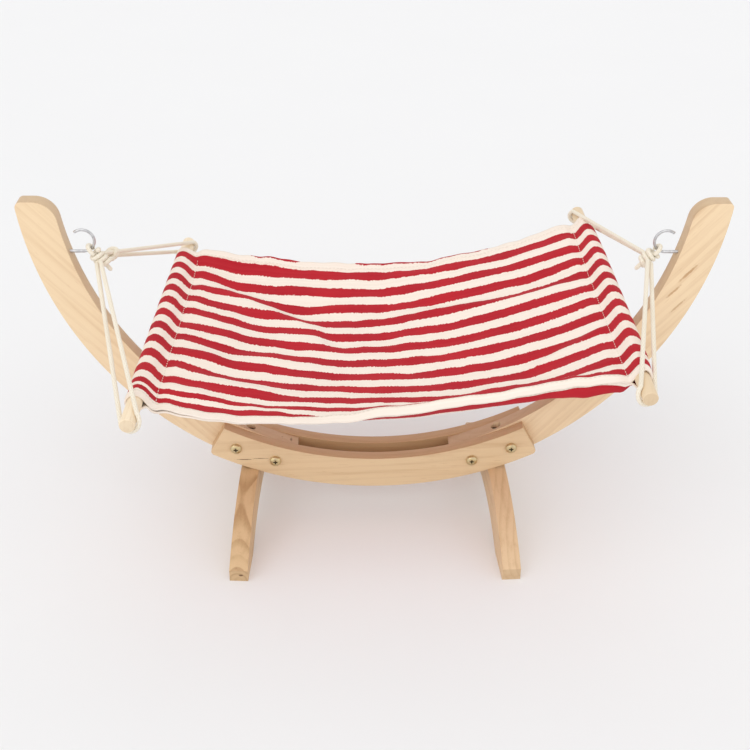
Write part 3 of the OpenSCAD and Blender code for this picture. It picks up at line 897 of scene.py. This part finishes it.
def upperHeight(d, y):
    x = dowelAt(0, y).x + d
    moved = foldHeight(x, y) + wrinkleHeight(x, y, fromSeam(d, y)) + edgeHeight(x, y)
    moved *= smooth((fromDowel(d, y) - canvasSet["foldsFrom"]) / canvasSet["foldsReach"])
    rise = bedSet["sleeveRises"][0 if x < 0 else 1] * sleeveShare(d, y)
    return bedHeight(d, y) + layerHalf(d, y) + rise + moved


def looseAt(side, y):
    return edgeSet["looseDrop"] * side * smooth((-y - edgeSet["looseFrom"]) / edgeSet["looseReach"])


def pinchShare(d, y):
    return smooth((fromDowel(d, y) - edgeSet["pinchFrom"]) / edgeSet["pinchReach"])


def gapAt(d, y):
    return min(canvasSet["leastGap"], 2 * layerHalf(d, y))


def lowerHeight(d, y):
    lumps = canvasSet["underLumps"]
    low = bedHeight(d, y) - layerHalf(d, y) - layerDrop(d, y)
    low -= looseAt(0 if d < bedSpan(y) / 2 else 1, y) * sleeveShare(d, y)
    lump = lumps["rise"] * lumpAt(dowelAt(0, y).x + d, y, lumps)
    low += lump * smooth((fromDowel(d, y) - lumps["from"]) / lumps["reach"])
    high = upperHeight(d, y)
    low += (high - edgeSet["rearGap"] - low) * rearShare(y) * pinchShare(d, y)
    return min(low, high - gapAt(d, y))


def upperPoint(d, y):
    s, x = edgeSet, dowelAt(0, y).x + d
    lip = alongKnots(s["lipFrom"], x)
    if y >= -lip:
        return Vector((x, y, upperHeight(d, y)))
    high, behind = upperHeight(d, -lip), upperHeight(d, -lip + 2)
    start = -math.atan((high - behind) / 2)
    end = max(start, math.radians(alongKnots(s["lipAngle"], x)))
    place = Vector((x, -lip, high))
    length = (-y - lip) / s["lipSteps"]
    for i in range(s["lipSteps"]):
        turn = start + (end - start) * smooth((i + 0.5) * length / s["lipBend"])
        place += Vector((0, -math.cos(turn), -math.sin(turn))) * length
    return place


# The lower layer's front edge is a curve that ends under the upper layer's hem
def lowerPoint(d, y):
    s, x = edgeSet, dowelAt(0, y).x + d
    tuck = s["tuckFrom"]
    if y >= -tuck:
        return Vector((x, y, lowerHeight(d, y)))
    t = (-y - tuck) / (clothHalf - tuck)
    first, behind = lowerHeight(d, -tuck), lowerHeight(d, -tuck + 2)
    rolled = alongKnots(s["lipAngle"], x) / s["lipFull"]
    gap = gapAt(d, y)
    within = Vector((0, s["tuckIn"][0] + s["tuckIn"][1] * rolled, -gap + (gap + s["tuckUp"]) * rolled))
    end = upperPoint(d, -clothHalf) + within
    end.z -= alongKnots(s["mouth"], x)
    end = Vector((x, -clothHalf, lowerHeight(d, -clothHalf))).lerp(end, pinchShare(d, y))
    start = Vector((x, -tuck, first))
    lead = start + Vector((0, -s["tuckLead"], s["tuckLead"] * (first - behind) / 2))
    flatIn, flatDrop = (part * (1 - rolled) for part in s["tuckFlat"])
    drop = s["bulgePull"] * alongKnots(s["bulge"], x) + flatDrop
    drop *= smooth((fromDowel(d, y) - s["bulgeFrom"]) / s["bulgeReach"])
    pull = end + Vector((0, flatIn - s["tuckRolled"] * rolled, -drop))
    return start * (1 - t) ** 3 + lead * 3 * t * (1 - t) ** 2 + pull * 3 * t * t * (1 - t) + end * t**3


def sleevePoint(side, y, a):
    m, r, s = dowelAt(side, y), bedSet["sleeveRadius"], canvasSet["sleeveLumps"]
    out = r + (bedSet["reaches"][side] - r) * (1 - (y / clothHalf) ** canvasSet["sleeveSquare"])
    out = max(out + s["rise"] * lumpAt(side * 7, y, s), r)
    high = r + bedSet["sleeveRises"][side] * max(0.0, math.cos(a))
    loose = looseAt(side, y) * max(0.0, -math.cos(a))
    return Vector((m.x + (2 * side - 1) * out * math.sin(a), y, m.z + high * math.cos(a) - loose))


# Columns lie closer together near the dowels
def eased(i, count):
    t = i / count
    return t - canvasSet["columnEase"] * math.sin(math.tau * t) / math.tau


# Column i of the loop at row y, from the left dowel's outer side over the top: its place, and how far below
def loopPoint(i, y, s):
    n, upper, lower = s["sleeveColumns"], s["columns"], s["lowerColumns"]
    right = n + upper
    under = right + 2 * n
    if i < n:
        place, below = sleevePoint(0, y, math.pi / 2 * (1 - i / n)), 0.5 - 0.5 * i / n
    elif i <= right:
        place, below = upperPoint(bedSpan(y) * eased(i - n, upper), y), 0.0
    elif i < under:
        below = (i - right) / (2 * n)
        place = sleevePoint(1, y, math.pi * below)
    elif i <= under + lower:
        place, below = lowerPoint(bedSpan(y) * eased(under + lower - i, lower), y), 1.0
    else:
        below = 1 - 0.5 * (i - under - lower) / n
        place = sleevePoint(0, y, math.pi * below)
    drawn = alongKnots(edgeSet["draw"], place.x)
    drawn *= smooth((-y - edgeSet["drawFrom"]) / (clothHalf - edgeSet["drawFrom"]))
    return place + dowelAt(0, drawn) - dowelAt(0, 0), below


def loopLine(y, s):
    return [loopPoint(i, y, s) for i in range(4 * s["sleeveColumns"] + s["columns"] + s["lowerColumns"])]


def stripePhase(x, y, below, s):
    left, right = (middle.x for middle in bedSet["mids"])
    t = clamp((x - left) / (right - left))
    upper, lower, pitch = (a + (b - a) * t for a, b in (s["upperFirst"], s["lowerFirst"], s["pitch"]))
    gatherFrom = alongKnots(edgeSet["gatherFrom"], x)
    gathered = smooth((-y - gatherFrom) / (edgeSet["gatherTo"] - gatherFrom))
    gathered *= alongKnots(edgeSet["gather"], x)
    return (upper + (lower - upper) * smooth(below) - y + gathered * (1 - below)) / pitch


def makeCanvasMesh(s):
    rows = [clothHalf * (2 * j / s["rows"] - 1) for j in range(s["rows"] + 1)]
    lines = [loopLine(y, s) for y in rows]
    arcs = [distances([p for p, below in line + line[:1]]) for line in lines]

    def stripesAt(j, i):
        place, below = lines[j][i % len(lines[j])]
        return arcs[j][i] * mm, stripePhase(place.x, rows[j], below, s)

    made = bmesh.new()
    layers = {"cloth": lambda j, i: (arcs[j][i] * mm, rows[j] * mm), "stripes": stripesAt}
    addBand(made, [[p * mm for p, below in line] for line in lines], layers)
    made.normal_update()
    return meshOf("canvasLoop", made), max(arc[-1] for arc in arcs)


def thicken(piece, name, thickness):
    made = piece.modifiers.new(name, "SOLIDIFY")
    made.thickness = thickness * mm
    made.offset = 0.0
    made.use_even_offset = False


canvasMesh, loopLength = makeCanvasMesh(canvasSet)
canvasPiece = newPiece("canvasLoop", canvasMesh, "bed", canvasMaterial)
thicken(canvasPiece, "thicken", canvasSet["thickness"])
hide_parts("upper_sheet", "lower_sheet")
print("canvas loop made", round(loopLength, 1), "mm round")

# Hems: a folded strip along the front and the rear edge of the loop; lower widths are front and rear,
# and the red edge is how much of a stripe shows along the rear
hemSet = {
    "frontWidth": ((-60, 10), (60, 10.5), (110, 9.5), (155, 8.5), (215, 8.5), (245, 9.5)),
    "rearWidth": 10.0,
    "lowerWidths": (
        ((-60, 4), (-45, 12), (10, 12), (33, 7.6), (60, 6.2), (88, 5.1), (147, 3), (208, 1.2)),
        ((0, 4),),
    ),
    "redEdge": (
        (-170, -10), (-140, 1.6), (-92, 2.2), (-78, -7), (-30, -7), (-16, 2.2), (100, 1.6), (140, 1.2),
        (158, -10),
    ),
    "rows": 7,
    "thickness": 2.0,
    "over": 0.3,
}


def hemColumns(sign, s):
    columns = []
    for i, (end, below) in enumerate(loopLine(sign * clothHalf, canvasSet)):
        width = s["rearWidth"] if sign > 0 else alongKnots(s["frontWidth"], end.x)
        width += (alongKnots(s["lowerWidths"][0 if sign < 0 else 1], end.x) - width) * smooth(below)
        rows = [sign * (clothHalf - width * (1 - j / (s["rows"] - 1))) for j in range(s["rows"])]
        column = [loopPoint(i, y, canvasSet)[0] for y in rows]
        column[-1] += (column[-1] - column[-2]).normalized() * s["over"]
        columns.append(column)
    return columns


def makeHem(name, sign, s):
    columns = hemColumns(sign, s)
    along = distances([column[-1] for column in columns + columns[:1]])

    def clothAt(j, i):
        return along[i] * mm, s["rearWidth"] * j / (s["rows"] - 1) * mm

    def stripesAt(j, i):
        red = alongKnots(s["redEdge"], columns[i % len(columns)][-1].x) if sign > 0 else s["redEdge"][0][1]
        fromEdge = s["rearWidth"] * (1 - j / (s["rows"] - 1))
        phase = canvasShades["redShare"] / 2 + (fromEdge - red) / canvasSet["pitch"][1]
        return along[i] * mm, min(0.5, phase)

    made = bmesh.new()
    layers = {"cloth": clothAt, "stripes": stripesAt}
    addBand(made, [[column[j] * mm for column in columns] for j in range(s["rows"])], layers)
    bmesh.ops.recalc_face_normals(made, faces=made.faces)
    piece = newPiece(name, meshOf(name, made), "bed", canvasMaterial)
    thicken(piece, "fold", s["thickness"])
    return piece


hems = [makeHem("frontHem", -1, hemSet), makeHem("rearHem", 1, hemSet)]

# Stitches: short rounded threads along the sleeves' seams and the hems
stitchSet = {
    "length": 3.2,
    "pitch": 4.6,
    "radius": 0.38,
    "sink": 0.3,
    "arch": 0.9,
    "around": 6,
    # Share of the length, and of the radius
    "rings": ((0.0, 0.35), (0.12, 0.85), (0.35, 1.0), (0.65, 1.0), (0.88, 0.85), (1.0, 0.35)),
    "wander": {"reach": 0.35, "wave": (15, 1)},
    "leastHem": 3.0,
    "fromHem": 1,
}


def addStitch(made, a, b, n, s):
    side = (b - a).normalized().cross(n).normalized()
    rings = []
    for share, size in s["rings"]:
        centre = a.lerp(b, share) - n * s["radius"] * s["arch"] * (2 * share - 1) ** 2
        turns = angles(math.tau, s["around"])[:-1]
        rings.append(
            [(centre + s["radius"] * size * (math.cos(t) * side + math.sin(t) * n)) * mm for t in turns]
        )
    addTube(made, rings, {})


def makeSeamStitches(s):
    made = bmesh.new()
    lift = canvasSet["thickness"] / 2 + s["radius"] - s["sink"]
    reach = clothHalf - hemSet["rearWidth"] - s["fromHem"]
    for up, height in ((1, upperHeight), (-1, lowerHeight)):
        for side, w in enumerate(bedSet["sleeveWidths"]):
            for i in range(int(2 * reach / s["pitch"])):
                start = -reach + i * s["pitch"]
                ends = []
                for y in (start, start + s["length"]):
                    d = s["wander"]["reach"] * lumpAt(y, side * 5, {**s["wander"], "seed": up})
                    d += w if side == 0 else bedSpan(y) - w
                    ends.append(Vector((dowelAt(0, y).x + d, y, height(d, y))))
                y = start + s["length"] / 2
                d = w if side == 0 else bedSpan(y) - w
                slope = (height(d + 1, y) - height(d - 1, y)) / 2
                n = Vector((-slope, 0, 1)).normalized() * up
                addStitch(made, ends[0] + n * lift, ends[1] + n * lift, n, s)
    return newPiece("seamStitches", meshOf("seamStitches", made), "bed", threadMaterial)


def makeHemStitches(s):
    made = bmesh.new()
    lift = hemSet["thickness"] / 2 + s["radius"] - s["sink"]
    for sign in (-1, 1):
        columns = hemColumns(sign, hemSet)
        normals = []
        for i, column in enumerate(columns):
            way = columns[(i + 1) % len(columns)][1] - columns[i - 1][1]
            normals.append((way.cross(column[2] - column[0]) * sign).normalized())
        places = [column[1] + n * lift for column, n in zip(columns, normals)]
        along = distances(places)
        for k in range(int(along[-1] / s["pitch"])):
            first = spotOn(places, along, k * s["pitch"])[1]
            i, second = spotOn(places, along, k * s["pitch"] + s["length"])
            if (columns[i][-1] - columns[i][0]).length > s["leastHem"]:
                addStitch(made, first, second, normals[i], s)
    return newPiece("hemStitches", meshOf("hemStitches", made), "bed", threadMaterial)


stitches = [makeSeamStitches(stitchSet), makeHemStitches(stitchSet)]
print("hems and stitches made")

# Boards, dowels and metal: the CAD shapes with softened edges
softSet = {
    "merge": 1e-6,
    "flat": math.radians(0.4),
    "shadeSharp": math.radians(35),
    "tipReach": 2.0,
    "tipLength": 10.0,
    "tipSharp": 0.7,
    "tipSegments": 8,
    "broadFades": (0.45, 0.45),  # from which share of the face's normal, and over which
    "endFades": (0.75, 0.2),
    "innerFace": 0.9,
}


def bevelled(made, edges, offset, segments):
    bmesh.ops.bevel(
        made,
        geom=edges,
        offset=offset * mm,
        segments=segments,
        profile=0.5,
        affect="EDGES",
        material=-1,
        clamp_overlap=True,
    )


# This face attribute marks a board's narrow sides (painted shade), the rails' faces towards the gap between
# them (deeper painted shade), or a board's or dowel's end grain, for a darker tone
def rimShare(normal, s):
    if "broad" in s:
        # The rails' faces towards the gap between them get deeper painted shade
        if normal.y * s.get("inner", 0) > softSet["innerFace"]:
            return s["innerPaintedShade"]
        low, over = softSet["broadFades"]
        return 1 - smooth((abs(normal[s["broad"]]) - low) / over)
    low, over = softSet["endFades"]
    return smooth((abs(normal[s["ends"]]) - low) / over) if "ends" in s else 0.0


def tipCorner(made):
    reach = max(abs(v.co.x) for v in made.verts) - softSet["tipReach"] * mm
    corner = [e for e in made.edges if all(abs(v.co.x) > reach for v in e.verts)]
    corner = [e for e in corner if abs(e.verts[0].co.y - e.verts[1].co.y) > softSet["tipLength"] * mm]
    return [e for e in corner if e.calc_face_angle(0) > softSet["tipSharp"]]


def softened(nodeName, s, material):
    made = bmesh.new()
    made.from_mesh(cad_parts[nodeName].data)
    bmesh.ops.remove_doubles(made, verts=made.verts, dist=softSet["merge"])
    bmesh.ops.dissolve_limit(made, angle_limit=softSet["flat"], verts=made.verts, edges=made.edges)
    if "tip" in s:
        bevelled(made, tipCorner(made), s["tip"], softSet["tipSegments"])
    sharp = math.radians(s["sharp"])
    edges = [e for e in made.edges if len(e.link_faces) == 2 and e.calc_face_angle(0) > sharp]
    bevelled(made, edges, s["bevel"], s["segments"])
    rimLayer = made.faces.layers.float.new("rim")
    made.normal_update()
    for face in made.faces:
        face.smooth = True
        face[rimLayer] = rimShare(face.normal, s)
    mesh = meshOf(nodeName + "Soft", made)
    mesh.set_sharp_from_angle(angle=softSet["shadeSharp"])
    piece = newPiece(nodeName + "Soft", mesh, s["body"], material)
    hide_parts(nodeName)
    return piece


def mark(place, size, depth, colour):
    return {"place": place, "size": size, "depth": depth, "colour": colour}


# The colour of the painted shade on the boards' narrow sides and in the rails' gap, and of the end grain
rimColour = (0.44, 0.29, 0.165, 1)
darkMark = (0.13, 0.06, 0.025, 1)
streakMark = (0.50, 0.28, 0.13, 1)
plainWood = {"slope": (0, 0.045, -0.03), "rimColour": rimColour, "marks": ()}
# In the arm and rail tones, the darker side tone is painted shade on their narrow sides
armTones = {**plainWood, "pale": (0.87, 0.67, 0.44, 1), "dark": (0.58, 0.35, 0.175, 1), "rim": 0.5}
railTones = {
    **plainWood,
    "pale": (0.79, 0.585, 0.36, 1),
    "dark": (0.50, 0.29, 0.135, 1),
    "rim": 0.5,
    "rimColour": (0.46, 0.265, 0.12, 1),
}
woodSets = {
    "left_arm": {
        **armTones,
        "turn": (0, math.radians(49), 0),
        "offset": (0.1, 0.02, 0.03),
        "ring": 0.0085,
        "depth": 0.2,
        "marks": (
            mark((-0.105, 0.0, 0.0884), (0.002, 0.006, 0.002), 0.8, darkMark),
            mark((-0.0947, 0.0, 0.0856), (0.002, 0.006, 0.002), 0.7, darkMark),
        ),
    },
    "right_arm": {
        **armTones,
        "turn": (0, math.radians(-49), 0),
        "offset": (0.3, -0.03, 0.05),
        "ring": 0.0095,
        "depth": 0.26,
        "marks": (
            mark((0.331, -0.009, 0.303), (0.016, 0.004, 0.0022), 0.8, streakMark),
            mark((0.318, -0.009, 0.281), (0.014, 0.004, 0.0018), 0.75, streakMark),
            mark((0.325, -0.009, 0.264), (0.017, 0.004, 0.0016), 0.6, streakMark),
        ),
    },
    "front_rail": {
        **railTones,
        "turn": (0, 0, 0),
        "offset": (0.0, 0.05, -0.1),
        "ring": 0.0075,
        "depth": 0.18,
        "marks": (
            mark((-0.147, -0.023, 0.0747), (0.012, 0.004, 0.0008), 0.9, darkMark),
            mark((-0.128, -0.023, 0.0759), (0.012, 0.004, 0.0006), 0.8, darkMark),
        ),
    },
    "rear_rail": {
        **railTones,
        "turn": (0, 0, 0),
        "offset": (0.5, -0.03, -0.07),
        "ring": 0.0065,
        "depth": 0.25,
    },
    "left_leg": {
        **plainWood,
        "turn": (0, 0, math.radians(90)),
        "offset": (0.0, -0.14, -0.0435),
        "slope": (0, 0.0524, -0.3),
        "ring": 0.0052,
        "depth": 0.6,
        "pale": (0.69, 0.485, 0.275, 1),
        "dark": (0.38, 0.21, 0.09, 1),
        "rim": 0.35,
        "marks": (
            mark((-0.1553, -0.145, 0.0225), (0.005, 0.0026, 0.004), 0.95, darkMark),
            mark((-0.1453, -0.145, 0.0079), (0.004, 0.0032, 0.0016), 0.95, darkMark),
        ),
    },
    "right_leg": {
        **plainWood,
        "turn": (0, 0, math.radians(90)),
        "offset": (0.7, 0.165, -0.015),
        "ring": 0.007,
        "depth": 0.3,
        "pale": (0.74, 0.535, 0.33, 1),
        "dark": (0.47, 0.28, 0.13, 1),
        "rim": 0.35,
    },
}
boardEdges = {"bevel": 1.0, "segments": 3, "sharp": 40, "body": "frame", "slot": "frame_wood"}
boardCuts = {
    "left_arm": {"broad": 1, "tip": 7.0},
    "right_arm": {"broad": 1, "tip": 5.0},
    # The rails' faces towards each other get deeper painted shade, for the dark gap between them
    "front_rail": {"broad": 1, "inner": 1, "innerPaintedShade": 1.3},
    "rear_rail": {"broad": 1, "inner": -1, "innerPaintedShade": 1.3},
    "left_leg": {"ends": 1},
    "right_leg": {"ends": 1},
}
for nodeName, wood in woodSets.items():
    softened(nodeName, {**boardEdges, **boardCuts[nodeName]}, makeWood({"name": nodeName + "Wood", **wood}))

dowelEdges = {"bevel": 0.35, "segments": 2, "sharp": 30, "body": "bed", "slot": "dowel_wood", "ends": 1}
dowelWood = {
    **plainWood,
    "turn": (0, 0, math.radians(90)),
    "ring": 0.004,
    "depth": 0.15,
    "dark": (0.62, 0.42, 0.23, 1),
    "rim": 0.25,
}
dowelTones = {
    "left_dowel": {"offset": (0.0, 0.3, -0.2), "pale": (0.93, 0.78, 0.575, 1)},
    "right_dowel": {"offset": (0.4, -0.3, -0.22), "pale": (0.80, 0.63, 0.425, 1)},
}
for nodeName, tones in dowelTones.items():
    softened(nodeName, dowelEdges, makeWood({"name": nodeName + "Wood", **dowelWood, **tones}))
print("wood made")

zincMaterial = makeMetal("yellowZinc", (0.70, 0.56, 0.30, 1), (0.60, 0.49, 0.31, 1))
steelMaterial = makeMetal("wornSteel", (0.66, 0.66, 0.67, 1), (0.52, 0.52, 0.54, 1))
blackMaterial = makeMetal("blackSteel", (0.035, 0.03, 0.025, 1), (0.06, 0.05, 0.04, 1))
# A dark metal painted into the bolts' driver recesses as shade
grimeMaterial = makeMetal("grimyRecess", (0.11, 0.08, 0.045, 1), (0.16, 0.12, 0.07, 1))
metalEdges = {"bevel": 0.3, "segments": 2, "sharp": 35, "body": "frame"}
recessSet = {"reach": 3.1, "from": 0.35, "to": 3.4}


# The driver recess in each bolt head: faces near the bolt's axis, below the head's top, get the dark metal
# as painted shade
def darkenRecesses(piece, material, s):
    mesh = piece.data
    mesh.materials.append(material)
    made = bmesh.new()
    made.from_mesh(mesh)
    left = set(made.verts)
    while left:
        island = [left.pop()]
        for vert in island:
            for edge in vert.link_edges:
                other = edge.other_vert(vert)
                if other in left:
                    left.remove(other)
                    island.append(other)
        middleX = (min(v.co.x for v in island) + max(v.co.x for v in island)) / 2
        middleZ = (min(v.co.z for v in island) + max(v.co.z for v in island)) / 2
        front = min(v.co.y for v in island)
        for face in {f for v in island for f in v.link_faces}:
            centre = face.calc_center_median()
            away = math.hypot(centre.x - middleX, centre.z - middleZ)
            if away < s["reach"] * mm and s["from"] * mm < centre.y - front < s["to"] * mm:
                face.material_index = 1
    made.to_mesh(mesh)
    made.free()


metalSets = (
    ("yellow_zinc", zincMaterial, ("rail_bolts", "rail_washers", "rail_nuts")),
    ("steel", blackMaterial, ("leg_bolts", "leg_washers", "leg_nuts")),
    ("steel", steelMaterial, ("left_hook", "right_hook")),
)
for slotName, material, nodeNames in metalSets:
    for nodeName in nodeNames:
        piece = softened(nodeName, {**metalEdges, "slot": slotName}, material)
        if nodeName == "rail_bolts":
            darkenRecesses(piece, grimeMaterial, recessSet)
print("metal made")

# Floor and light
floorSet = {
    "half": 25.0,
    "pale": (0.77, 0.775, 0.79, 1),
    "deep": (0.755, 0.76, 0.775, 1),
    "cloud": 3.0,
    "glow": 0.12,
}
lightSets = (
    {"name": "keyLight", "from": (-0.35, -1.0, 1.2), "spread": 70.0, "power": 0.85},
    {"name": "leftFill", "from": (-1.0, -0.6, 0.4), "spread": 70.0, "power": 0.42},
    {"name": "rightFill", "from": (1.0, -0.6, 0.4), "spread": 70.0, "power": 0.42},
    {"name": "rearFill", "from": (0.1, 1.0, 0.45), "spread": 80.0, "power": 0.4},
)
studioSet = {"Color": (1.0, 0.99, 0.975, 1), "Strength": 0.7}


def makeFloor(s):
    made = bmesh.new()
    bmesh.ops.create_grid(made, x_segments=1, y_segments=1, size=s["half"])
    floor = linked("floor", meshOf("floor", made))
    material, tree = newMaterial("paleFloor")
    tone = noiseOn(tree, addNode(tree, "TexCoord")["Object"], s["cloud"])
    finish = {
        "Base Color": mixColour(tree, tone, s["pale"], s["deep"]),
        "Roughness": 0.75,
        "Specular IOR Level": 0.2,
        "Emission Color": (1, 1, 1, 1),
        "Emission Strength": s["glow"],
    }
    floor.data.materials.append(dressed(material, finish))


def makeLight(s):
    data = bpy.data.lights.new(s["name"], "SUN")
    data.angle = math.radians(s["spread"])
    data.energy = s["power"]
    made = linked(s["name"], data)
    made.location = Vector(s["from"]) * 2
    made.rotation_euler = (-Vector(s["from"])).to_track_quat("-Z", "Y").to_euler()


makeFloor(floorSet)
for light in lightSets:
    makeLight(light)
world = bpy.data.worlds.new("studio")
world.use_nodes = True
put(world.node_tree, world.node_tree.nodes["Background"].inputs, studioSet)
bpy.context.scene.world = world
bpy.context.scene.view_settings.view_transform = "Standard"
print("floor and light made")
